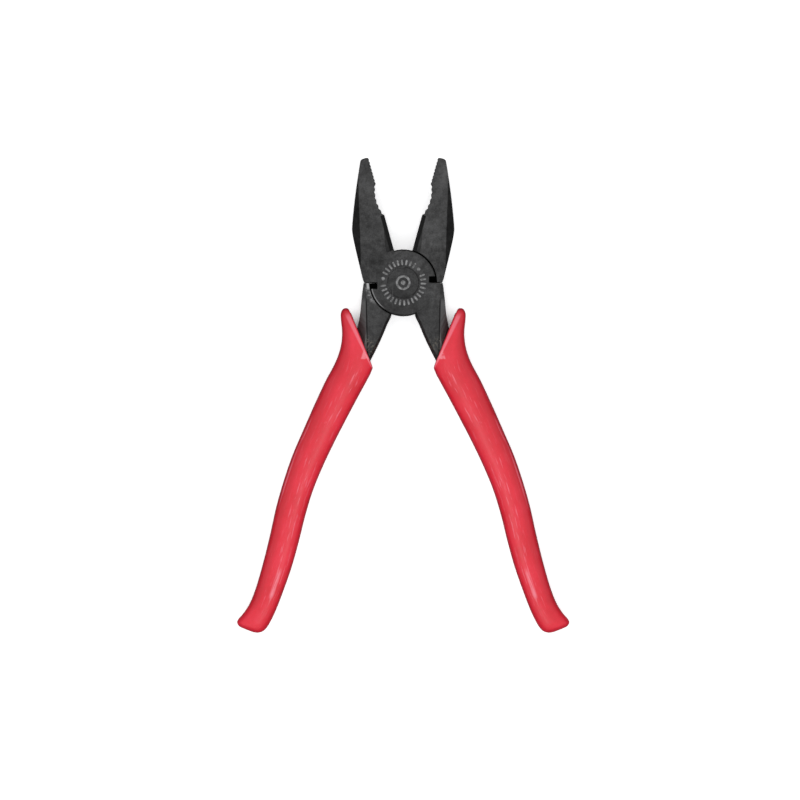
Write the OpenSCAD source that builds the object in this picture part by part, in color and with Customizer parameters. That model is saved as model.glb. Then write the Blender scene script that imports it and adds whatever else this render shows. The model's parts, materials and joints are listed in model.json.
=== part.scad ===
// Lineman (combination) pliers with a lap joint, wire-shear notches and plastic guard grips.
// Millimetres. The pliers lie flat with the jaws towards +Y, the back face of the joint on z = 0 and the
// pivot axis on the Z axis. Both halves are the same forging: the rear one is the front one turned over
// about the Y axis. Each half is described closed, with its jaw on the left and its handle on the right,
// and with the middle of its thickness at z = 0; it is then turned open and lifted into place.

/* [Head] */
// Thickness of the head at the joint
head_t = 11.5; // [11:0.1:12]
// Radius of the round lap that turns in the other half
disc_r = 13.5; // [13.2:0.1:13.8]
// Thickness of the jaws at their tips
tip_t = 8.4; // [7:0.1:10]
// Height of the jaw tips above the pivot axis
jaw_len = 52.9; // [52:0.1:54]
// Where the pipe grip starts, above the pivot axis
pipe_low = 28.5; // [27.5:0.1:29]
// Where the pipe grip ends and the flat serrated tip starts
pipe_high = 42; // [41:0.1:42.5]
// Depth of the pipe grip's hollow
pipe_depth = 1.5; // [1:0.1:2.2]

/* [Teeth] */
// Number of teeth in the pipe grip
pipe_teeth = 6; // [4:1:8]
// Depth of the pipe grip's teeth
pipe_tooth = 0.45; // [0.2:0.05:0.6]
// Number of teeth on the flat tip
tip_teeth = 7; // [5:1:9]
// Depth of the flat tip's teeth
tip_tooth = 0.3; // [0.2:0.05:0.5]

/* [Joint] */
// Angle that each half is turned open from closed
open_half = 15.5; // [13:0.5:15.5]
// Radius of the rivet's shank
rivet_r = 4; // [3:0.25:4.5]
// Radius of the rivet's countersunk heads at the faces
rivet_head_r = 6.4; // [5.5:0.1:7]
// Radial clearance of the rivet in the front half, which turns on it
rivet_play = 0.05; // [0.02:0.01:0.1]
// Clearance between the flat faces of the two laps
lap_gap = 0.06; // [0.04:0.01:0.2]
// Radial clearance round each round lap
rim_gap = 0.3; // [0.1:0.05:0.35]
// Chamfer round the face of each round lap
rim_chamfer = 0.4; // [0.2:0.1:0.8]
// Width of each wire-shear notch
notch_w = 2.6; // [1.6:0.1:2.8]
// Distance of each notch's floor from the pivot axis
notch_floor = 10.5; // [10:0.1:11.5]

/* [Grips] */
// Thickness of the grips where they are thickest
grip_t = 11.5; // [11.3:0.1:12.5]
// Roundness of the grip's section: 2 is an ellipse, and more is squarer
grip_power = 2.4; // [2.2:0.1:3]
// Clearance of the tang in the grip
grip_fit = 0.03; // [0.02:0.01:0.08]

/* [Hidden] */
$fn = 96;

steel = "dimgray";
rivet_steel = "gray";
grip_red = "crimson";

half_t = head_t / 2;
// Angle left between the open stops, so that the two shoulders don't touch
stop_angle = 0.9;
// Half the gap left between the closed jaws
jaw_gap = 0.04;
big = 60;

// Jaw, seen from the front: the outer side from the tip to the shoulder
jaw_side = [[-3.9, 51.6], [-9.2, 39.7], [-13.4, 29.1], [-14.5, 25.2], [-15.0, 18.5], [-15.45, 6]];
// Radius at which the jaw's and the neck's shoulders reach the outside
shoulder_r = 15.98;
// The front end of the flat ground faces, where the jaws start to get thinner
face_end = 16;
// The line in the front face where the jaw's slanting outer side starts, and the slant from the face
side_line = [[-14.3, 13.2], [-5.75, 45.2]];
side_slant = 58;
// The cutters' bevels: a shallow relief ground in the face, then the edge's own bevel down to the middle
relief_w = 3.2;
bevel_w = 1.7;
relief_drop = 0.3;
edge_land = 0.15;

// Stations down the tang, each [inner x, inner y, outer x, outer y, half thickness, inner chamfer,
// outer chamfer's width, outer chamfer's drop]. The fifth lies in the plane of the grip's mouth.
tang_stations = [
    [3.0, -0.92, 15.45, -4.52, half_t, 0.5, 0.6, 0.5],
    [1.15, -12.6, 14.90, -8.6, half_t, 0.9, 1.7, 0.75],
    [1.80, -18.2, 14.2, -12.8, 5.5, 1.0, 2.75, 1.0],
    [2.80, -25.8, 13.5, -17.0, 4.7, 1.1, 4.7, 1.5],
    [4.44, -34.18, 13.05, -22.90, 3.8, 1.6, 7.6, 2.6],
    [5.5, -39.2, 13.6, -30.4, 3.8, 1.4, 5.2, 2.4],
    [7.1, -46.0, 16.0, -42.0, 3.8, 1.0, 2.4, 1.8],
    [9.5, -57.0, 18.7, -55.0, 3.7, 1.0, 1.2, 1.2],
    [11.8, -68.5, 20.9, -68.0, 3.6, 1.0, 1.0, 1.0],
    [13.7, -80.0, 22.6, -80.0, 3.5, 1.0, 1.0, 1.0],
    [15.0, -91.5, 23.3, -91.5, 3.4, 1.0, 1.0, 1.0],
    [15.3, -102.5, 23.3, -102.5, 3.3, 1.0, 1.0, 1.0],
    [15.2, -113.5, 22.7, -113.5, 3.2, 1.0, 1.0, 1.0],
    [15.4, -124.5, 22.2, -124.5, 3.1, 0.9, 0.9, 0.9],
    [16.0, -135.0, 22.1, -135.0, 3.0, 0.8, 0.8, 0.8],
    [16.8, -142.0, 22.6, -142.0, 2.9, 0.8, 0.8, 0.8],
    [17.9, -146.4, 23.1, -146.4, 2.6, 0.8, 0.8, 0.8],
    [19.0, -147.8, 22.4, -147.8, 2.0, 0.7, 0.7, 0.7]
];
mouth_station = 4;

// Stations down the grip's outside, each [inner x, inner y, outer x, outer y, thickness as a share].
// The first lies in the plane of the mouth, and the first four shape the thumb guard's tip.
grip_stations = [
    [2.90, -36.20, 17.40, -17.20, 0.955],
    [2.80, -36.6, 19.0, -16.1, 0.975],
    [2.80, -37.1, 20.7, -16.8, 0.985],
    [2.85, -37.7, 21.1, -18.9, 0.990],
    [2.95, -38.5, 20.2, -21.8, 1],
    [3.15, -39.8, 18.7, -25.6, 1],
    [3.55, -41.5, 17.75, -29.8, 1],
    [4.05, -43.7, 17.5, -34.2, 1],
    [4.75, -46.7, 18.1, -39.7, 1],
    [5.75, -51.0, 19.75, -47.0, 1],
    [7.50, -59.0, 21.5, -57.5, 0.99],
    [9.60, -69.0, 23.1, -68.5, 0.975],
    [11.55, -80.0, 24.65, -80.0, 0.96],
    [12.90, -91.0, 25.3, -91.5, 0.94],
    [13.20, -102.0, 25.35, -102.0, 0.925],
    [12.90, -113.0, 24.8, -112.5, 0.905],
    [12.95, -124.0, 24.45, -123.5, 0.89],
    [13.70, -135.0, 24.5, -134.5, 0.88],
    [14.40, -142.0, 25.15, -141.8, 0.89],
    [15.20, -146.7, 26.5, -146.6, 0.92],
    [16.00, -149.8, 28.0, -149.8, 0.93],
    [17.10, -152.0, 27.9, -152.2, 0.83],
    [18.80, -153.4, 26.4, -153.6, 0.60],
    [20.50, -153.9, 24.8, -154.1, 0.28]
];

// ---------------------------------------------------------------- curves and lofts

// A value between b and c at t on the smooth curve through a, b, c and d
function smooth(a, b, c, d, t) =
    b + t * ((c - a) / 2 + t * ((2 * a - 5 * b + 4 * c - d) / 2 + t * (3 * (b - c) + d - a) / 2));

// A smooth curve through all the rows, with n steps between each two
function curve(rows, n) =
    let (last = len(rows) - 1)
    [for (i = [0:last - 1], k = [0:n - 1])
        smooth(rows[max(i - 1, 0)], rows[i], rows[i + 1], rows[min(i + 2, last)], k / n),
     rows[last]];

// A point of a section: u along the line from the inner to the outer edge, and z
function on_line(s, u, z) = [s[0] + (s[2] - s[0]) * u, s[1] + (s[3] - s[1]) * u, z];
function span(s) = norm([s[2] - s[0], s[3] - s[1]]);

// The tang's eight-sided section, grown by fit on every side, starting at the inner edge's lower corner
function tang_ring(s, fit) =
    let (w = span(s), h = min(s[4], half_t) + fit, ci = s[5], co = s[6], drop = s[7], g = fit / w)
    [on_line(s, -g, -(h - ci)), on_line(s, ci / w - g, -h), on_line(s, 1 - co / w + g, -h),
     on_line(s, 1 + g, -(h - drop)), on_line(s, 1 + g, h - drop), on_line(s, 1 - co / w + g, h),
     on_line(s, ci / w - g, h), on_line(s, -g, h - ci)];

// The tang's sections: a smooth curve down to the grip's mouth, and straight from there on
tang_rows = concat(
    curve([for (i = [0:mouth_station]) tang_stations[i]], 3),
    [for (i = [mouth_station + 1:len(tang_stations) - 1]) tang_stations[i]]
);

// Each side of a ring in three, so that it has as many points as the grip's outer ring
function thirds(ring) =
    [for (i = [0:len(ring) - 1], k = [0:2])
        ring[i] + (ring[(i + 1) % len(ring)] - ring[i]) * k / 3];

// The grip's rounded section, starting at the inner edge and going round by the back
function grip_ring(s) =
    [for (i = [0:23])
        let (a = 360 * (i + 0.5) / 24, c = cos(a), d = sin(a), e = 2 / grip_power)
        on_line(s, 0.5 - sign(c) * pow(abs(c), e) / 2, -sign(d) * pow(abs(d), e) * grip_t * s[4] / 2)];

// Triangles between ring i and ring i + 1 of n points each
function band(i, n) =
    [for (k = [0:n - 1])
        let (a = i * n + k, b = i * n + (k + 1) % n)
        each [[a, b + n, b], [a, a + n, b + n]]];
function cap(start, n, first) =
    [for (k = [1:n - 2]) first ? [start, start + k, start + k + 1] : [start, start + k + 1, start + k]];

// The middle of a ring
function middle(ring) = [for (p = ring) 1 / len(ring)] * ring;

// A closed solid through the rings, with flat ends. The rings go round by -z, and down the handle.
module loft(rings) {
    n = len(rings[0]);
    last = len(rings) - 1;
    polyhedron(
        points = [for (r = rings) each r],
        faces = [for (i = [0:last - 1]) each band(i, n), each cap(0, n, true), each cap(last * n, n, false)]
    );
}

// ---------------------------------------------------------------- the forged half, closed

function polar(r, a) = [r * cos(a), r * sin(a)];

// The pipe grip's hollow: an arc with a tooth valley between each two crests
pipe_chord = pipe_high - pipe_low;
pipe_r = (pipe_chord * pipe_chord / 4 + pipe_depth * pipe_depth) / (2 * pipe_depth);
pipe_half_angle = asin(pipe_chord / 2 / pipe_r);
function pipe_grip() =
    [for (i = [0:2 * pipe_teeth])
        let (a = 180 + pipe_half_angle * (1 - i / pipe_teeth), r = pipe_r + (i % 2) * pipe_tooth)
        [pipe_r - pipe_depth - jaw_gap, (pipe_low + pipe_high) / 2] + polar(r, a)];

// The flat tip's serrations
function tip_grip() =
    let (pitch = (jaw_len - 0.7 - pipe_high) / tip_teeth)
    [for (i = [1:2 * tip_teeth])
        [-jaw_gap - (i % 2) * tip_tooth, pipe_high + pitch * i / 2]];

module jaw_plan() {
    shoulder = 180 - open_half - stop_angle;
    polygon(concat(
        [[-jaw_gap, disc_r - 3]],
        pipe_grip(),
        tip_grip(),
        [[-0.35, jaw_len - 0.15], [-1, jaw_len], [-2.6, jaw_len], [-3.4, jaw_len - 0.35]],
        curve(jaw_side, 6),
        [polar(shoulder_r, shoulder), polar(disc_r - 3, shoulder)]
    ));
}

// The jaw's thickness from the side
module jaw_side_profile() {
    rotate([90, 0, 90])
        linear_extrude(height = big, center = true)
            polygon([[-2, -half_t], [face_end, -half_t], [jaw_len + 1, -tip_t / 2],
                     [jaw_len + 1, tip_t / 2], [face_end, half_t], [-2, half_t]]);
}

// Cuts the jaw's slanting outer side, on the front and, mirrored, on the back
module slanted_side() {
    run = side_line[1] - side_line[0];
    for (m = [0, 1])
        mirror([0, 0, m])
            translate([side_line[0][0], side_line[0][1], half_t])
                rotate([0, 0, atan2(run[1], run[0])])
                    rotate([-side_slant, 0, 0])
                        translate([-30, -1, 0])
                            cube([90, 20, 20]);
}

// Cuts the cutters' bevels on both faces, up to the rim of the round lap
module cutter_bevels() {
    difference() {
        for (m = [0, 1])
            mirror([0, 0, m])
                rotate([90, 0, 0])
                    translate([0, 0, -pipe_low])
                        linear_extrude(height = pipe_low)
                            polygon([[-jaw_gap, edge_land], [1, edge_land], [1, half_t + 1],
                                     [-relief_w - 1, half_t + 1], [-relief_w, half_t],
                                     [-bevel_w, half_t - relief_drop]]);
        cylinder(r = disc_r + 0.4, h = big, center = true);
    }
}

module jaw() {
    difference() {
        intersection() {
            linear_extrude(height = head_t, center = true) jaw_plan();
            jaw_side_profile();
        }
        slanted_side();
        cutter_bevels();
    }
}

// Two notches in the lap's rim, each against a shoulder, that shear a wire as the jaws close
module shear_notches() {
    for (turn = [0, 180])
        rotate([0, 0, turn - open_half])
            translate([-disc_r - 1, -notch_w, 0])
                cube([disc_r + 1 - notch_floor, notch_w + 0.12, half_t + 1]);
}

module rivet_hole(play) {
    cylinder(r = rivet_r + play, h = 2 * head_t, center = true);
    sink = rivet_head_r - rivet_r;
    translate([0, 0, half_t - sink])
        cylinder(r1 = rivet_r + play, r2 = rivet_head_r + 0.1 + play, h = sink + 0.1);
}

// One half with its jaw, its round lap in front, its neck and its tang
module half(play) {
    difference() {
        union() {
            jaw();
            translate([0, 0, -1]) cylinder(r = disc_r, h = half_t + 1 - rim_chamfer);
            translate([0, 0, half_t - rim_chamfer])
                cylinder(r1 = disc_r, r2 = disc_r - rim_chamfer, h = rim_chamfer);
            loft([for (s = tang_rows) tang_ring(s, 0)]);
        }
        translate([0, 0, lap_gap / 2 - big])
            cylinder(r = disc_r + rim_gap, h = big);
        shear_notches();
        rivet_hole(play);
    }
}

// ---------------------------------------------------------------- the grip

// A tube in one piece: down the outside, then up the blind socket that the tang fills. Its two closed
// ends are fans round a middle point each.
module grip() {
    outside = [for (s = curve(grip_stations, 2)) grip_ring(s)];
    deepest = len(tang_stations) - 1;
    socket = [for (i = [deepest:-1:mouth_station]) thirds(tang_ring(tang_stations[i], grip_fit))];
    n = len(outside[0]);
    rings = concat(outside, socket);
    last_out = len(outside) - 1;
    last = len(rings) - 1;
    end_middle = n * len(rings);
    socket_middle = end_middle + 1;
    polyhedron(
        points = [for (r = rings) each r, middle(rings[last_out]), middle(rings[last_out + 1])],
        faces = [for (i = [0:last - 1]) if (i != last_out) each band(i, n),
                 for (k = [0:n - 1]) [last_out * n + k, end_middle, last_out * n + (k + 1) % n],
                 for (k = [0:n - 1])
                     [(last_out + 1) * n + k, (last_out + 1) * n + (k + 1) % n, socket_middle],
                 for (k = [0:n - 1])
                     let (a = last * n + k, b = last * n + (k + 1) % n)
                     each [[a, (k + 1) % n, b], [a, k, (k + 1) % n]]]
    );
}

// ---------------------------------------------------------------- the parts, in place

// The front half's place: turned open, with its round lap in front
module in_front() {
    translate([0, 0, half_t]) rotate([0, 0, open_half]) children();
}

// The rear half's place: turned over, then open the other way
module behind() {
    translate([0, 0, half_t]) rotate([0, 0, -open_half]) rotate([0, 180, 0]) children();
}

module front_half() {
    color(steel) in_front() half(rivet_play);
}

module rear_half() {
    color(steel) behind() half(0);
}

module pivot_rivet() {
    sink = rivet_head_r - rivet_r;
    color(rivet_steel)
        union() {
            cylinder(r = rivet_r, h = head_t);
            cylinder(r1 = rivet_head_r, r2 = rivet_r, h = sink);
            translate([0, 0, head_t - sink])
                cylinder(r1 = rivet_r, r2 = rivet_head_r, h = sink);
        }
}

module front_grip() {
    color(grip_red) in_front() grip();
}

module rear_grip() {
    color(grip_red) behind() grip();
}

front_half();
rear_half();
pivot_rivet();
front_grip();
rear_grip();
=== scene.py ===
import json
import math

import bpy
from mathutils import Matrix, Vector


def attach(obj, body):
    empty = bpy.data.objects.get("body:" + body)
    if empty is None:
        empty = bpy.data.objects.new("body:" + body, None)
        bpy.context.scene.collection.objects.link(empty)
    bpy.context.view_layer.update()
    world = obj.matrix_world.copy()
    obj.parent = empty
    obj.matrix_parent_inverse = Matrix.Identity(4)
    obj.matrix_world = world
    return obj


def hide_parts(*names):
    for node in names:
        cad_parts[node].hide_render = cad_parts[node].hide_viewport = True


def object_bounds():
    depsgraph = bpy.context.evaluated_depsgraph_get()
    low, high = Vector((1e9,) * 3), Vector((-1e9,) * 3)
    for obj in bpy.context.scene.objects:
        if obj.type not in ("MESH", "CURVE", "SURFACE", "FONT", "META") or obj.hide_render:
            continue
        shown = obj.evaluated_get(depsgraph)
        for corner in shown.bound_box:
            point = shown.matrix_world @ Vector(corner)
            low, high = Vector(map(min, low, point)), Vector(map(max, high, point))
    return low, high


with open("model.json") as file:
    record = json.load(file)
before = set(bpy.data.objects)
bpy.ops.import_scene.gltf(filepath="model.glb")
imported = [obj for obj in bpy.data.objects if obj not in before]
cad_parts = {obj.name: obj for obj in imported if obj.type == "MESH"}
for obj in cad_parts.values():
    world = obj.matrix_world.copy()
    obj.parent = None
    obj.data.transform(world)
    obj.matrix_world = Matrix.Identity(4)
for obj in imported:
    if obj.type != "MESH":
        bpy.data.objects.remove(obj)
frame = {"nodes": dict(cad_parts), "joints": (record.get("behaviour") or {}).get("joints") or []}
cad_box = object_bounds()

MM = 0.001
nodes = frame["nodes"]

# The grip's stations follow the CAD model's, apart from the last three, which make the end flatter and its
# outer corner sharper. Each half is described closed, in millimetres, with its handle on the right and the
# middle of its thickness at z = 0, and is then turned open and put in place.
joint = frame["joints"][0]
AXIS_Z = joint["pos_m"][2]
OPEN = math.radians(15.5)
# A section is a superellipse of this power, squarer at the mouth
GRIP_POWER = 2.7
MOUTH_POWER = 3.6
MOUTH_BLEND = 14
GRIP_HALF_T = 5.75
# Room round the tang, the mould seams, the bead at the mouth and the radius of its lip
GRIP_FIT = 0.16
SEAM_H = 0.10
SEAM_SPREAD = 0.012
SEAM_FADE = 3.0
SEAM_END_Y = -153.0
BEAD_H = 0.22
BEAD_W = 2.2
LIP_R = 0.55
# How the sleeve is drawn: points round it, steps between stations, angles round the lip, the first row of
# the curve outside the lip, and the rings up the socket
GRIP_COUNT = 96
GRIP_STEPS = 5
LIP_ANGLES = (90, 78, 60, 42, 24, 10)
FIRST_ROW = 3
SOCKET_RINGS = 3

TO_AXIS = Matrix.Translation((0, 0, AXIS_Z))
IN_FRONT = TO_AXIS @ Matrix.Rotation(OPEN, 4, "Z")
BEHIND = TO_AXIS @ Matrix.Rotation(-OPEN, 4, "Z") @ Matrix.Rotation(math.pi, 4, "Y")

# inner x, inner y, outer x, outer y, thickness as a share
GRIP = [
    (2.90, -36.20, 17.40, -17.20, 0.955),
    (2.80, -36.6, 19.0, -16.1, 0.975),
    (2.80, -37.1, 20.7, -16.8, 0.985),
    (2.85, -37.7, 21.1, -18.9, 0.990),
    (2.95, -38.5, 20.2, -21.8, 1.0),
    (3.15, -39.8, 18.7, -25.6, 1.0),
    (3.55, -41.5, 17.75, -29.8, 1.0),
    (4.05, -43.7, 17.5, -34.2, 1.0),
    (4.75, -46.7, 18.1, -39.7, 1.0),
    (5.75, -51.0, 19.75, -47.0, 1.0),
    (7.50, -59.0, 21.5, -57.5, 0.99),
    (9.60, -69.0, 23.1, -68.5, 0.975),
    (11.55, -80.0, 24.65, -80.0, 0.96),
    (12.90, -91.0, 25.3, -91.5, 0.94),
    (13.20, -102.0, 25.35, -102.0, 0.925),
    (12.90, -113.0, 24.8, -112.5, 0.905),
    (12.95, -124.0, 24.45, -123.5, 0.89),
    (13.70, -135.0, 24.5, -134.5, 0.87),
    (14.40, -142.0, 25.15, -141.8, 0.87),
    (15.20, -146.7, 26.5, -146.6, 0.94),
    (16.00, -149.8, 28.0, -149.8, 0.985),
    (17.10, -151.9, 28.2, -151.4, 0.90),
    (18.80, -153.0, 27.1, -152.5, 0.60),
    (20.50, -153.35, 25.4, -152.9, 0.28),
]
# The tang in the mouth of the grip: inner x, inner y, outer x, outer y, half thickness, inner chamfer,
# outer chamfer's width, outer chamfer's drop
TANG = [
    (4.44, -34.18, 13.05, -22.90, 3.8, 1.6, 7.6, 2.6),
    (5.5, -39.2, 13.6, -30.4, 3.8, 1.4, 5.2, 2.4),
]


def smooth(a, b, c, d, t):
    """A Catmull-Rom curve from b to c."""
    return b + t * ((c - a) / 2 + t * ((2 * a - 5 * b + 4 * c - d) / 2 + t * (3 * (b - c) + d - a) / 2))


def curve(rows, n):
    last = len(rows) - 1
    out = []
    for i in range(last):
        four = rows[max(i - 1, 0)], rows[i], rows[i + 1], rows[min(i + 2, last)]
        for k in range(n):
            out.append(tuple(smooth(*v, k / n) for v in zip(*four)))
    out.append(rows[-1])
    return out


def section(s, count, inset=0.0, sink=0.0, proud=0.0, seam=0.0, power=GRIP_POWER):
    """A closed rounded section of the grip, from its inner edge round by the back. sink moves it down the
    handle, proud swells it for the bead round the mouth, and seam raises the two mould seams."""
    a, b = Vector(s[0:2]), Vector(s[2:4])
    along = (b - a).normalized()
    down = Vector((along.y, -along.x))
    half = (b - a).length / 2 - inset + proud * 0.4
    thick = min(GRIP_HALF_T * s[4] - inset + proud, GRIP_HALF_T)
    mid = (a + b) / 2 + down * sink
    ring = []
    for t in section_angles(count):
        c, d = math.cos(t), math.sin(t)
        e = 2 / power
        ridge = seam * SEAM_H * math.exp(-(math.sin(t) / SEAM_SPREAD) ** 2)
        u = -math.copysign(abs(c) ** e, c) * (half + ridge)
        z = -math.copysign(abs(d) ** e, d) * thick
        p = mid + along * u
        ring.append(Vector((p.x, p.y, z)))
    return ring


def section_angles(count):
    """Evenly spread, but drawn together at the two mould seams (angles 0 and pi)."""
    out = []
    for i in range(count):
        t = 2 * math.pi * i / count
        out.append(t - 0.49 * math.sin(2 * t))
    return out


def socket(s, count, grow):
    """The tang's eight-sided outline, grown, with its points spread by angle as section()'s are."""
    a, b = Vector(s[0:2]), Vector(s[2:4])
    along = (b - a).normalized()
    w, h = (b - a).length, s[4] + grow
    ci, co, drop = s[5], s[6], s[7]
    corners = [(-grow, -(h - ci)), (ci - grow, -h), (w - co + grow, -h), (w + grow, -(h - drop)),
               (w + grow, h - drop), (w - co + grow, h), (ci - grow, h), (-grow, h - ci)]
    cx = w * 0.45
    ring = []
    for angle in section_angles(count):
        t = math.pi + angle
        dx, dz = math.cos(t), math.sin(t)
        best = None
        for k in range(8):
            (x0, z0), (x1, z1) = corners[k], corners[(k + 1) % 8]
            x0, x1 = x0 - cx, x1 - cx
            ex, ez = x1 - x0, z1 - z0
            den = dx * ez - dz * ex
            if abs(den) < 1e-9:
                continue
            r = (x0 * ez - z0 * ex) / den
            q = (x0 * dz - z0 * dx) / den
            if r > 0 and -1e-6 <= q <= 1 + 1e-6 and (best is None or r < best):
                best = r
        p = a + along * (cx + dx * best)
        ring.append(Vector((p.x, p.y, dz * best)))
    return ring


def ring_mesh(name, rings, place):
    """A skin over the rings, closed at the last one."""
    n = len(rings[0])
    verts = [place @ (p * MM) for ring in rings for p in ring]
    faces = [
        (i * n + k, (i + 1) * n + k, (i + 1) * n + (k + 1) % n, i * n + (k + 1) % n)
        for i in range(len(rings) - 1) for k in range(n)
    ]
    verts.append(place @ (sum(rings[-1], Vector()) / n * MM))
    last = (len(rings) - 1) * n
    faces += [(last + k, len(verts) - 1, last + (k + 1) % n) for k in range(n)]
    mesh = bpy.data.meshes.new(name)
    mesh.from_pydata(verts, [], faces)
    mesh.update()
    obj = bpy.data.objects.new(name, mesh)
    bpy.context.scene.collection.objects.link(obj)
    for f in mesh.polygons:
        f.use_smooth = True
    return obj


def uv_along(obj, rings, count):
    """In the layer "along" U runs round the grip and V along it. In "place" U is -1 at the inner edge and
    +1 at the outer, and V is the distance from the mouth in millimetres."""
    rows = len(rings)
    layer = obj.data.uv_layers.new(name="along")
    where = obj.data.uv_layers.new(name="place")
    turns = [math.cos(t) for t in section_angles(count)]
    across = [-math.copysign(abs(c) ** (2 / GRIP_POWER), c) for c in turns]
    mids = [sum(ring, Vector()) / count for ring in rings]
    lip_row = SOCKET_RINGS + len(LIP_ANGLES) - 1
    down = [0.0] * rows
    for i in range(lip_row + 1, rows):
        down[i] = down[i - 1] + (mids[i] - mids[i - 1]).length
    for face in obj.data.polygons:
        cols = [v % count for v in face.vertices]
        wrap = max(cols) - min(cols) > count / 2
        for loop in face.loop_indices:
            v = obj.data.loops[loop].vertex_index
            row, col = min(v // count, rows - 1), v % count
            u = (col + (count if wrap and col < count / 2 else 0)) / count
            layer.data[loop].uv = (u, row / rows)
            where.data[loop].uv = (across[col], down[row])


def grip(name, node, body, place):
    """One sleeve: up the socket, out round the lip and down the outside to the closed end."""
    count = GRIP_COUNT
    rings = [socket(TANG[1], count, GRIP_FIT), socket(TANG[0], count, GRIP_FIT)]
    rings.append(socket(TANG[0], count, GRIP_FIT + 0.12))
    for degrees in LIP_ANGLES:
        a = math.radians(degrees)
        inset, sink = LIP_R * (1 - math.cos(a)), LIP_R * (1 - math.sin(a))
        rings.append(section(GRIP[0], count, inset, sink, BEAD_H, 0.0, MOUTH_POWER))
    for s in curve(GRIP, GRIP_STEPS)[FIRST_ROW:]:
        depth = max(0.0, GRIP[0][1] - s[1])
        bead = BEAD_H * max(0.0, 1 - (depth / BEAD_W) ** 2)
        seam = min(1.0, depth / SEAM_FADE) * min(1.0, max(0.0, (s[1] - SEAM_END_Y) / SEAM_FADE))
        power = GRIP_POWER + (MOUTH_POWER - GRIP_POWER) * max(0.0, 1 - depth / MOUTH_BLEND) ** 2
        rings.append(section(s, count, proud=bead, seam=seam, power=power))
    obj = ring_mesh(name, rings, place)
    uv_along(obj, rings, count)
    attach(obj, body)
    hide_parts(node)
    return obj


# ------------------------------------------------------------------ materials

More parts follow.
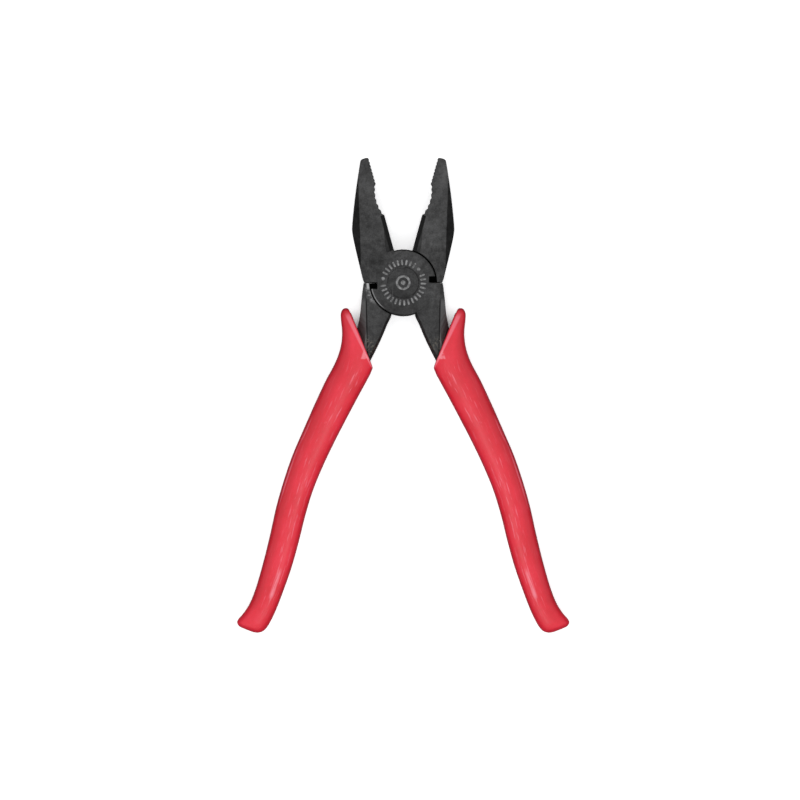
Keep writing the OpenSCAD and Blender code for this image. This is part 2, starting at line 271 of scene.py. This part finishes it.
class Nodes:
    """Short names for the shader nodes that the materials share."""

    def __init__(self, name):
        self.material = bpy.data.materials.new(name)
        self.material.use_nodes = True
        self.tree = self.material.node_tree
        self.bsdf = self.tree.nodes["Principled BSDF"]
        self.coords = self.tree.nodes.new("ShaderNodeTexCoord").outputs["Object"]

    def link(self, source, target):
        self.tree.links.new(source, target)

    def put(self, node, socket, value):
        if isinstance(value, bpy.types.NodeSocket):
            self.link(value, node.inputs[socket])
        else:
            node.inputs[socket].default_value = value

    def mapped(self, scale, source=None):
        n = self.tree.nodes.new("ShaderNodeMapping")
        n.inputs["Scale"].default_value = scale
        self.link(source or self.coords, n.inputs["Vector"])
        return n.outputs["Vector"]

    def noise(self, scale, detail=4.0, rough=0.55, vector=None):
        n = self.tree.nodes.new("ShaderNodeTexNoise")
        n.inputs["Scale"].default_value = scale
        n.inputs["Detail"].default_value = detail
        n.inputs["Roughness"].default_value = rough
        self.link(vector or self.coords, n.inputs["Vector"])
        return n.outputs["Fac"]

    def ramp(self, source, stops):
        r = self.tree.nodes.new("ShaderNodeValToRGB")
        els = r.color_ramp.elements
        els[0].position, els[1].position = stops[0][0], stops[-1][0]
        els[0].color, els[1].color = rgba(stops[0][1]), rgba(stops[-1][1])
        for pos, col in stops[1:-1]:
            els.new(pos).color = rgba(col)
        self.link(source, r.inputs["Fac"])
        return r.outputs["Color"]

    def math(self, op, a, b=0.0, c=0.0):
        n = self.tree.nodes.new("ShaderNodeMath")
        n.operation = op
        for i, v in enumerate((a, b, c)):
            self.put(n, i, v)
        return n.outputs[0]

    def step(self, source, low, high):
        """0 below low, 1 above high (or the other way round if low > high), smooth between."""
        n = self.tree.nodes.new("ShaderNodeMapRange")
        n.interpolation_type = "SMOOTHSTEP"
        self.link(source, n.inputs["Value"])
        if low < high:
            ends = low, high, 0.0, 1.0
        else:
            ends = high, low, 1.0, 0.0
        for k, v in zip(("From Min", "From Max", "To Min", "To Max"), ends):
            n.inputs[k].default_value = v
        return n.outputs["Result"]

    def mix(self, factor, a, b):
        n = self.tree.nodes.new("ShaderNodeMix")
        n.data_type = "RGBA"
        self.put(n, 0, factor)
        self.put(n, 6, rgba(a) if not isinstance(a, bpy.types.NodeSocket) else a)
        self.put(n, 7, rgba(b) if not isinstance(b, bpy.types.NodeSocket) else b)
        return n.outputs[2]

    def bump(self, height, strength, distance):
        n = self.tree.nodes.new("ShaderNodeBump")
        n.inputs["Strength"].default_value = strength
        n.inputs["Distance"].default_value = distance
        self.link(height, n.inputs["Height"])
        return n.outputs["Normal"]

    def edges(self, radius, low, high):
        """1 on outside edges, 0 away from them: where a rounded normal leaves the real one."""
        bev = self.tree.nodes.new("ShaderNodeBevel")
        bev.samples = 6
        bev.inputs["Radius"].default_value = radius
        geo = self.tree.nodes.new("ShaderNodeNewGeometry")
        dot = self.tree.nodes.new("ShaderNodeVectorMath")
        dot.operation = "DOT_PRODUCT"
        self.link(bev.outputs["Normal"], dot.inputs[0])
        self.link(geo.outputs["Normal"], dot.inputs[1])
        return self.step(dot.outputs["Value"], high, low)

    def crevices(self, distance):
        ao = self.tree.nodes.new("ShaderNodeAmbientOcclusion")
        ao.samples = 8
        ao.inputs["Distance"].default_value = distance
        return ao.outputs["AO"]

    def all_of(self, *masks):
        """The masks multiplied together."""
        out = masks[0]
        for mask in masks[1:]:
            out = self.math("MULTIPLY", out, mask)
        return out

    def band(self, source, rise, fall):
        """1 between two limits; each pair says where it is 0 and where it is 1."""
        return self.all_of(self.step(source, *rise), self.step(source, *fall))

    def blend(self, *parts):
        """The weighted sum of (socket, weight) pairs."""
        out = self.math("MULTIPLY", *parts[-1])
        for source, weight in reversed(parts[:-1]):
            out = self.math("MULTIPLY_ADD", source, weight, out)
        return out

    def paint(self, colour, mask, amount, over):
        return self.mix(self.math("MULTIPLY", mask, amount), colour, over)

    def size_of(self, source, less=0.0):
        """How far the value is from less."""
        return self.math("ABSOLUTE", self.math("SUBTRACT", source, less))

    def split(self, vector):
        n = self.tree.nodes.new("ShaderNodeSeparateXYZ")
        self.link(vector, n.inputs[0])
        return n.outputs

    def uv(self, layer):
        n = self.tree.nodes.new("ShaderNodeUVMap")
        n.uv_map = layer
        return n.outputs["UV"]

    def facing(self, normal):
        """1 on level faces, 0 on upright ones, by the named normal."""
        geo = self.tree.nodes.new("ShaderNodeNewGeometry")
        return self.size_of(self.split(geo.outputs[normal])[2])


def rgba(colour):
    return tuple(colour) + (1.0,) if len(colour) == 3 else tuple(colour)


def grey(v):
    return (v, v, v * 1.01)


# The joint, in metres from the pivot's axis: how far from the mid-plane the two flat faces start, the
# radius of the recess's rim, and the rubbed edge of the round lap inside it
FACE_FROM = 0.0045
RIM_R = 0.0138
LAP_RISE = (0.01265, 0.01285)
LAP_FALL = (0.01325, 0.0131)
# The ridge between a neck's face and its outer chamfer runs along closed x + RIDGE_SLOPE * closed y = RIDGE
RIDGE_SLOPE = -0.30
RIDGE = 0.0158


def steel_material(name, wear_and_highlight_side, shade):
    """Black oxide on forged and ground steel, with shade and highlights painted into its colour in places. The
    second argument is +1 or -1 where the rim of the recess for the other half's round lap is rubbed bright: on
    the front (+1) or on the back (-1); the same sign puts a painted highlight on the round lap's edge on the
    other face.
    It is 0 for neither."""
    n = Nodes(name)
    x, y, z = n.split(n.coords)
    side = n.math("ABSOLUTE", x)
    broad = n.noise(70, 3, 0.5)
    mottle = n.noise(420, 6, 0.65)
    grain = n.noise(1800, 3, 0.6)
    scratch = n.noise(900, 4, 0.6, n.mapped((1.0, 0.06, 1.0)))
    tone = n.blend((broad, 0.35), (mottle, 0.4), (grain, 0.25))
    colour = n.ramp(tone, [(0.38, grey(0.026 * shade)), (0.5, grey(0.052 * shade)),
                           (0.62, grey(0.086 * shade))])
    # Edges: a painted shade as a dark outline along them, and patches of bare steel where they are open
    open_face = n.crevices(0.006)
    wear = n.all_of(n.edges(0.00035, 0.80, 0.985), n.step(n.noise(260, 5, 0.65), 0.40, 0.66),
                    n.step(open_face, 0.62, 0.9))
    colour = n.paint(colour, n.edges(0.0004, 0.980, 0.997), 0.7, grey(0.008))
    colour = n.paint(colour, wear, 0.35, grey(0.30))
    # The necks are darker towards the grips
    colour = n.paint(colour, n.step(y, -0.004, -0.014), 0.35, grey(0.016))
    # Scuffs on the flat faces
    colour = n.paint(colour, n.step(scratch, 0.60, 0.74), 0.22, grey(0.16))
    if wear_and_highlight_side:
        radius = n.math("SQRT", n.math("ADD", n.math("MULTIPLY", x, x), n.math("MULTIPLY", y, y)))
        face = n.math("MULTIPLY", n.math("SUBTRACT", z, AXIS_Z), wear_and_highlight_side)
        rim_face = n.math("GREATER_THAN", face, FACE_FROM)
        lap_face = n.math("LESS_THAN", face, -FACE_FROM)
        # the rim of the recess, bright at the shoulder and blotchy further down
        corner = n.all_of(n.band(radius, (RIM_R, RIM_R + 0.0003), (RIM_R + 0.0013, RIM_R + 0.0009)),
                          n.band(y, (-0.0034, -0.0018), (0.0002, -0.0006)), rim_face)
        blotch = n.all_of(n.band(radius, (RIM_R - 0.0001, RIM_R + 0.0002), (RIM_R + 0.0024, RIM_R + 0.0008)),
                          n.band(y, (-0.0096, -0.0060), (-0.0008, -0.0024)),
                          n.step(n.noise(1000, 4, 0.7), 0.44, 0.56), rim_face)
        colour = n.paint(colour, blotch, 0.85, grey(0.26))
        colour = n.paint(colour, corner, 0.9, grey(0.42))
        # a painted highlight along the edge of the round lap, where it turns past that rim
        lip = n.all_of(n.band(radius, LAP_RISE, LAP_FALL), n.band(y, (-0.0112, -0.0085), (-0.0006, -0.0020)),
                       lap_face, n.step(n.math("MULTIPLY", x, wear_and_highlight_side), 0.001, 0.004))
        colour = n.paint(colour, lip, 0.8, grey(0.26))
    # The necks' outer chamfers are painted paler, a painted reflection, with a painted shade as a dark line
    # along the ridge
    lean = n.facing("True Normal")
    closed_x = n.math("MULTIPLY_ADD", side, math.cos(OPEN), n.math("MULTIPLY", y, math.sin(OPEN)))
    closed_y = n.math("MULTIPLY_ADD", y, math.cos(OPEN), n.math("MULTIPLY", side, -math.sin(OPEN)))
    outward = n.math("MULTIPLY_ADD", closed_y, RIDGE_SLOPE, closed_x)
    upward = n.all_of(n.step(lean, 0.55, 0.70), n.step(y, -0.0055, -0.0085))
    chamfer = n.all_of(upward, n.step(outward, RIDGE, RIDGE + 0.0005))
    colour = n.paint(colour, chamfer, 0.8, grey(0.11))
    ridge = n.all_of(n.step(n.size_of(outward, RIDGE), 0.00036, 0.00014), upward)
    colour = n.paint(colour, ridge, 0.8, grey(0.005))
    # Pale dust where the necks enter the grips
    dust = n.all_of(n.step(closed_y, -0.0235, -0.0275), n.step(n.noise(1100, 4, 0.7), 0.50, 0.62))
    colour = n.paint(colour, dust, 0.6, (0.17, 0.155, 0.13))
    # The cutting edges' ground bevels are painted darker than the faces: painted shade
    cutter = n.all_of(n.step(lean, 0.990, 0.975), n.step(y, 0.006, 0.008), n.step(side, 0.0140, 0.0130))
    colour = n.paint(colour, cutter, 0.75, grey(0.010))
    # Painted shade in the notches, the joint's gap and the roots of the teeth, where little light reaches; the
    # chamfers are mostly spared
    out_of_painted_shade = n.math("MAXIMUM", n.step(open_face, 0.22, 0.72), n.math("MULTIPLY", chamfer, 0.85))
    colour = n.mix(out_of_painted_shade, grey(0.0025), colour)
    n.link(colour, n.bsdf.inputs["Base Color"])
    rough = n.ramp(n.blend((mottle, 0.6), (grain, 0.4)), [(0.3, (0.36,) * 3), (0.7, (0.52,) * 3)])
    n.link(rough, n.bsdf.inputs["Roughness"])
    n.link(n.math("MULTIPLY_ADD", chamfer, -0.5, 1.0), n.bsdf.inputs["Metallic"])
    height = n.blend((mottle, 0.5), (scratch, 0.25), (grain, 0.25))
    n.link(n.bump(height, 0.35, 0.00012), n.bsdf.inputs["Normal"])
    return n.material


def mark_material(name):
    """The raised marks on the joint, lighter than the face round them."""
    n = Nodes(name)
    rub = n.noise(900, 4, 0.65)
    colour = n.ramp(rub, [(0.35, grey(0.10)), (0.65, grey(0.30))])
    n.link(colour, n.bsdf.inputs["Base Color"])
    rough = n.ramp(n.noise(2000, 3, 0.6), [(0.3, (0.38,) * 3), (0.7, (0.55,) * 3)])
    n.link(rough, n.bsdf.inputs["Roughness"])
    n.bsdf.inputs["Metallic"].default_value = 1.0
    n.link(n.bump(rub, 0.4, 0.0001), n.bsdf.inputs["Normal"])
    return n.material


# The painted highlight, a pale triangle by the mouth's inner corner: its top, how far down it reaches, in
# metres, and how much its outer and inner sides slope
PATCH_X, PATCH_Y = 0.0160, -0.0274
PATCH_REACH = (0.0039, 0.0033)
PATCH_OUT, PATCH_IN = 0.33, -0.64
# Where the two painted highlight lines lie across the grip, -1 at its inner edge and +1 at its outer
PALM_LINE = 0.84
GLINT_LINE = -0.30


def grip_material(name):
    """Soft red plastic, with flow lines along the handle, and shade and highlights painted into its colour.
    Distances down the grip are in millimetres.
    """
    n = Nodes(name)
    lines = n.noise(1, 4, 0.6, n.mapped((40, 5, 1), n.uv("along")))
    fine = n.noise(1, 3, 0.6, n.mapped((110, 9, 1), n.uv("along")))
    cloud = n.noise(75, 3, 0.5)
    speck = n.noise(900, 3, 0.6)
    colour = n.ramp(n.blend((cloud, 0.6), (lines, 0.2), (speck, 0.2)),
                    [(0.34, (0.66, 0.007, 0.022)), (0.5, (0.75, 0.011, 0.033)), (0.66, (0.82, 0.019, 0.050))])
    across, down = n.split(n.uv("place"))[0:2]
    rub_and_highlight_noise = n.noise(1, 3, 0.6, n.mapped((9, 0.10, 1), n.uv("place")))
    before_end = n.step(down, 123.0, 116.0)
    # painted shade: darker towards the outer edge, and maroon where both faces turn down to the sides
    colour = n.paint(colour, n.all_of(n.step(across, 0.15, 0.6), before_end), 0.45, (0.50, 0.006, 0.018))
    rims = n.all_of(n.step(n.size_of(across), 0.90, 0.98), n.step(n.facing("Normal"), 0.08, 0.35), before_end)
    colour = n.paint(colour, rims, 0.45, (0.20, 0.012, 0.03))
    # fine broken pale lines, partly rub lines and partly painted highlight, most of them on the inner half
    inner = n.band(across, (-0.85, -0.55), (0.35, 0.0))
    streak = n.all_of(n.step(rub_and_highlight_noise, 0.55, 0.67), n.math("MULTIPLY_ADD", inner, 0.75, 0.15),
                      n.step(down, 6.0, 13.0), before_end)
    colour = n.mix(streak, colour, (0.84, 0.12, 0.17))
    # a painted highlight as a pale line along the outer side of the palm swell
    palm = n.all_of(n.band(down, (36.0, 44.0), (80.0, 71.0)),
                    n.step(n.size_of(across, PALM_LINE), 0.07, 0.02), n.step(rub_and_highlight_noise, 0.30, 0.60))
    colour = n.mix(palm, colour, (0.84, 0.14, 0.19))
    # painted shade as a dark rim round the mouth, a painted highlight as a pale line along it, and a painted
    # highlight as a pale patch at its inner corner
    colour = n.paint(colour, n.step(down, 0.9, 0.3), 0.5, (0.25, 0.010, 0.026))
    lip = n.all_of(n.band(down, (0.9, 1.2), (2.5, 1.9)), n.step(cloud, 0.28, 0.44), n.step(across, 0.85, 0.6))
    colour = n.paint(colour, lip, 0.75, (0.88, 0.17, 0.23))
    x, y, _ = n.split(n.coords)
    side, below = n.math("ABSOLUTE", x), n.math("SUBTRACT", PATCH_Y, y)
    outer = n.math("SUBTRACT", side, n.math("MULTIPLY_ADD", below, PATCH_OUT, PATCH_X))
    inner = n.math("SUBTRACT", side, n.math("MULTIPLY_ADD", below, PATCH_IN, PATCH_X))
    patch = n.all_of(n.step(below, *PATCH_REACH), n.step(outer, 0.0003, -0.0003),
                     n.step(inner, -0.0003, 0.0003), n.step(n.noise(700, 3, 0.6), 0.30, 0.55))
    colour = n.paint(colour, patch, 0.8, (0.90, 0.24, 0.29))
    # a glint by the flared end
    glint = n.all_of(n.step(n.size_of(across, GLINT_LINE), 0.22, 0.05),
                     n.band(down, (100.0, 104.0), (114.5, 112.0)), n.step(rub_and_highlight_noise, 0.36, 0.52))
    colour = n.paint(colour, glint, 0.8, (0.88, 0.20, 0.26))
    n.link(colour, n.bsdf.inputs["Base Color"])
    rough = n.ramp(n.blend((cloud, 0.5), (speck, 0.5)), [(0.3, (0.30,) * 3), (0.7, (0.42,) * 3)])
    n.link(rough, n.bsdf.inputs["Roughness"])
    n.bsdf.inputs["Subsurface Weight"].default_value = 0.08
    n.bsdf.inputs["Subsurface Radius"].default_value = (1.0, 0.1, 0.05)
    n.bsdf.inputs["Subsurface Scale"].default_value = 0.0006
    height = n.blend((lines, 0.5), (fine, 0.3), (speck, 0.2))
    n.link(n.bump(height, 0.35, 0.0002), n.bsdf.inputs["Normal"])
    return n.material


# The halves are one black oxide; the rear half's copy is painted lighter than the front's, as painted light
steel_front = steel_material("black_oxide_front", -1, 1.05)
steel_rear = steel_material("black_oxide_rear", 1, 1.18)
steel_rivet = steel_material("black_oxide_rivet", 0, 0.88)
worn_mark = mark_material("rubbed_marks")
red = grip_material("red_plastic")

WELD = 0.000002
EDGE_ROUND = 0.00024
EDGE_FROM = math.radians(24)

for node, material in (("front_half", steel_front), ("rear_half", steel_rear), ("pivot_rivet", steel_rivet)):
    obj = nodes[node]
    obj.data.materials.clear()
    obj.data.materials.append(material)
    weld = obj.modifiers.new("weld", "WELD")
    weld.merge_threshold = WELD
    bevel = obj.modifiers.new("bevel", "BEVEL")
    bevel.width = EDGE_ROUND
    bevel.segments = 2
    bevel.limit_method = "ANGLE"
    bevel.angle_limit = EDGE_FROM

for name, node, body, place, slot in (
    ("right_grip_sleeve", "front_grip", "front_body", IN_FRONT, "red_grip"),
    ("left_grip_sleeve", "rear_grip", "rear_body", BEHIND, "red_grip_rear"),
):
    g = grip(name, node, body, place)
    g.data.materials.append(red)

# ------------------------------------------------------------------ marks on the joint

FACE_Z = cad_box[1][2]
MARK_SUNK = -0.03
MARK_STEPS = ((0.0, MARK_SUNK), (0.0, 0.07), (0.09, 0.14))
MARK_TOP = 0.15


def raised(name, outlines, body):
    """Low raised marks on the front face, each an outline with a drawn-in top."""
    verts, faces = [], []
    for outline in outlines:
        centre = sum((Vector(p) for p in outline), Vector((0, 0))) / len(outline)
        k, base = len(outline), len(verts)
        for inset, z in MARK_STEPS:
            for p in outline:
                d = Vector(p) - centre
                q = centre + d * (1 - inset / max(d.length, 0.2))
                verts.append((q.x * MM, q.y * MM, FACE_Z + z * MM))
        verts.append((centre.x * MM, centre.y * MM, FACE_Z + MARK_TOP * MM))
        for r in range(2):
            faces += [(base + r * k + i, base + r * k + (i + 1) % k, base + (r + 1) * k + (i + 1) % k,
                       base + (r + 1) * k + i) for i in range(k)]
        faces += [(base + 2 * k + i, base + 2 * k + (i + 1) % k, base + 3 * k) for i in range(k)]
        faces.append(tuple(base + i for i in reversed(range(k))))
    mesh = bpy.data.meshes.new(name)
    mesh.from_pydata(verts, [], faces)
    obj = bpy.data.objects.new(name, mesh)
    bpy.context.scene.collection.objects.link(obj)
    obj.data.materials.append(worn_mark)
    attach(obj, body)


def dash(angle, r0, r1, half_width):
    """A radial dash with round ends."""
    a = math.radians(angle)
    out, side = Vector((math.cos(a), math.sin(a))), Vector((-math.sin(a), math.cos(a)))
    ring = []
    for centre, start in ((r1 - half_width, -90), (r0 + half_width, 90)):
        for i in range(6):
            b = math.radians(start + 36 * i)
            reach = centre + half_width * math.cos(b)
            ring.append(tuple(out * reach + side * half_width * math.sin(b)))
    return ring


def dot_mark(angle, r, radius):
    a = math.radians(angle)
    turn = [math.radians(20 * i) for i in range(18)]
    return [(r * math.cos(a) + radius * math.cos(t), r * math.sin(a) + radius * math.sin(t)) for t in turn]


# A ring of plain dashes with two dots in it; a dash too near a dot is left out
DASHES = 30
DASH_STEP = 360 / DASHES
DASH_FIRST = 9
DASH_R = (7.0, 9.4)
DASH_HALF_W = 0.40
DOT_ANGLES = (169, 41)
DOT_ROOM = 10
DOT_R = 8.3
DOT_RADIUS = 0.75

dash_angles = [DASH_FIRST + DASH_STEP * i for i in range(DASHES)]
marks = [dash(a, *DASH_R, DASH_HALF_W) for a in dash_angles if min(abs(a - d) for d in DOT_ANGLES) >= DOT_ROOM]
marks += [dot_mark(a, DOT_R, DOT_RADIUS) for a in DOT_ANGLES]
raised("joint_dashes", marks, "front_body")


def belts(rows, steps):
    """Quads between rows of points that each run once round."""
    faces = []
    for k in range(rows - 1):
        low, high = k * steps, (k + 1) * steps
        faces += [(low + i, low + (i + 1) % steps, high + (i + 1) % steps, high + i) for i in range(steps)]
    return faces


def lathe(name, profile, body, steps=72):
    """A turned piece about the pivot axis; profile is radius and height above the front face, in mm."""
    turn = [2 * math.pi * i / steps for i in range(steps)]
    verts = [(r * MM * math.cos(t), r * MM * math.sin(t), FACE_Z + z * MM) for r, z in profile for t in turn]
    faces = belts(len(profile), steps)
    mesh = bpy.data.meshes.new(name)
    mesh.from_pydata(verts, [], faces)
    for f in mesh.polygons:
        f.use_smooth = True
    obj = bpy.data.objects.new(name, mesh)
    bpy.context.scene.collection.objects.link(obj)
    obj.data.materials.append(worn_mark)
    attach(obj, body)


lathe("rivet_ring", [(3.05, MARK_SUNK), (3.0, 0.05), (2.8, 0.12), (2.55, 0.13), (2.3, 0.12), (2.1, 0.05),
                     (2.05, MARK_SUNK)], "rear_body")
lathe("rivet_boss", [(1.0, MARK_SUNK), (0.95, 0.05), (0.75, 0.11), (0.4, 0.13), (0.0, 0.135)],
      "rear_body")

# ------------------------------------------------------------------ stage

def stage_mesh(name, verts, faces, material):
    mesh = bpy.data.meshes.new(name)
    mesh.from_pydata(verts, [], faces)
    obj = bpy.data.objects.new(name, mesh)
    bpy.context.scene.collection.objects.link(obj)
    obj.data.materials.append(material)
    obj.visible_glossy = False
    obj.visible_diffuse = False
    obj.visible_transmission = False
    return obj


def stage_material(name, base, glow, buried=False):
    n = Nodes(name)
    cloud = n.noise(0.8, 2, 0.5)
    n.link(n.ramp(cloud, [(0.3, grey(base * 0.985)), (0.7, grey(base))]), n.bsdf.inputs["Base Color"])
    n.bsdf.inputs["Roughness"].default_value = 0.9
    n.bsdf.inputs["Specular IOR Level"].default_value = 0.0
    n.bsdf.inputs["Emission Color"].default_value = (1, 1, 1, 1)
    n.bsdf.inputs["Emission Strength"].default_value = glow
    if buried:
        # what shows through the narrow gaps lies in the dark under the tool
        light = n.step(n.crevices(0.010), 0.14, 0.26)
        n.link(n.math("MULTIPLY", light, glow), n.bsdf.inputs["Emission Strength"])
    return n.material


STAGE_R = 6.0
STAGE_TURN = 96
DOME_ROWS = 15
FLOOR_GLOW = 0.56
DOME_GLOW = 1.0

turn = [2 * math.pi * i / STAGE_TURN for i in range(STAGE_TURN)]
floor_z = cad_box[0][2] - 0.0001
floor = stage_mesh("floor", [(STAGE_R * math.cos(a), STAGE_R * math.sin(a), floor_z) for a in turn],
                   [tuple(range(STAGE_TURN))], stage_material("pale_floor", 0.9, FLOOR_GLOW, True))
heights = [0.0] + [math.radians(3 + 87 * i / DOME_ROWS) for i in range(DOME_ROWS)]
dome_verts = []
for b in heights:
    reach, z = STAGE_R * math.cos(b), floor_z + STAGE_R * math.sin(b)
    dome_verts += [(reach * math.cos(a), reach * math.sin(a), z) for a in turn]
facing_in = [face[::-1] for face in belts(len(heights), STAGE_TURN)]
dome = stage_mesh("backdrop", dome_verts, facing_in, stage_material("pale_backdrop", 0.0, DOME_GLOW))
dome.visible_shadow = False
floor.visible_shadow = False

world = bpy.data.worlds.new("studio")
bpy.context.scene.world = world
world.use_nodes = True
wt = world.node_tree
sky = wt.nodes["Background"]
direction = wt.nodes.new("ShaderNodeTexCoord")
parts = wt.nodes.new("ShaderNodeSeparateXYZ")
shade = wt.nodes.new("ShaderNodeValToRGB")
wt.links.new(direction.outputs["Generated"], parts.inputs[0])
wt.links.new(parts.outputs["Z"], shade.inputs["Fac"])
# how bright the sky is, by height from level to straight up
levels = [(0.0, 0.12), (0.02, 0.40), (0.26, 0.62), (0.5, 0.84), (0.707, 0.95), (0.866, 0.97), (1.0, 0.97)]
stops = shade.color_ramp.elements
stops[0].position, stops[0].color = levels[0][0], rgba((levels[0][1],) * 3)
stops[1].position, stops[1].color = levels[-1][0], rgba((levels[-1][1],) * 3)
for pos, v in levels[1:-1]:
    stops.new(pos).color = rgba((v, v, v))
wt.links.new(shade.outputs["Color"], sky.inputs["Color"])
sky.inputs["Strength"].default_value = 1.0


def area(name, place, target, size, power):
    lamp = bpy.data.lights.new(name, "AREA")
    lamp.shape = "RECTANGLE"
    lamp.size, lamp.size_y = size
    lamp.energy = power
    obj = bpy.data.objects.new(name, lamp)
    obj.location = place
    obj.rotation_euler = (Vector(target) - Vector(place)).to_track_quat("-Z", "Y").to_euler()
    obj.visible_camera = False
    bpy.context.scene.collection.objects.link(obj)


area("strip", (0.0, -0.115, 0.20), (0, -0.115, 0), (0.03, 0.13), 0.05)
area("rim", (-0.20, -0.30, 0.40), (0, -0.02, 0), (0.10, 0.10), 0.06)

# ------------------------------------------------------------------ camera

low, high = Vector(cad_box[0]), Vector(cad_box[1])
centre = (low + high) / 2
camera_data = bpy.data.cameras.new("camera")
camera = bpy.data.objects.new("camera", camera_data)
bpy.context.scene.collection.objects.link(camera)
CAMERA_UP = 1.6
SENSOR = 36
LENGTH_SHARE = 0.594
AIM = (-0.0013, -0.0016)
camera_data.sensor_width = SENSOR
camera_data.lens = SENSOR * CAMERA_UP / ((high.y - low.y) / LENGTH_SHARE)
camera.location = (centre.x + AIM[0], centre.y + AIM[1], centre.z + CAMERA_UP)
camera.rotation_euler = (0, 0, 0)
bpy.context.scene.camera = camera
bpy.context.scene.view_settings.view_transform = "Standard"
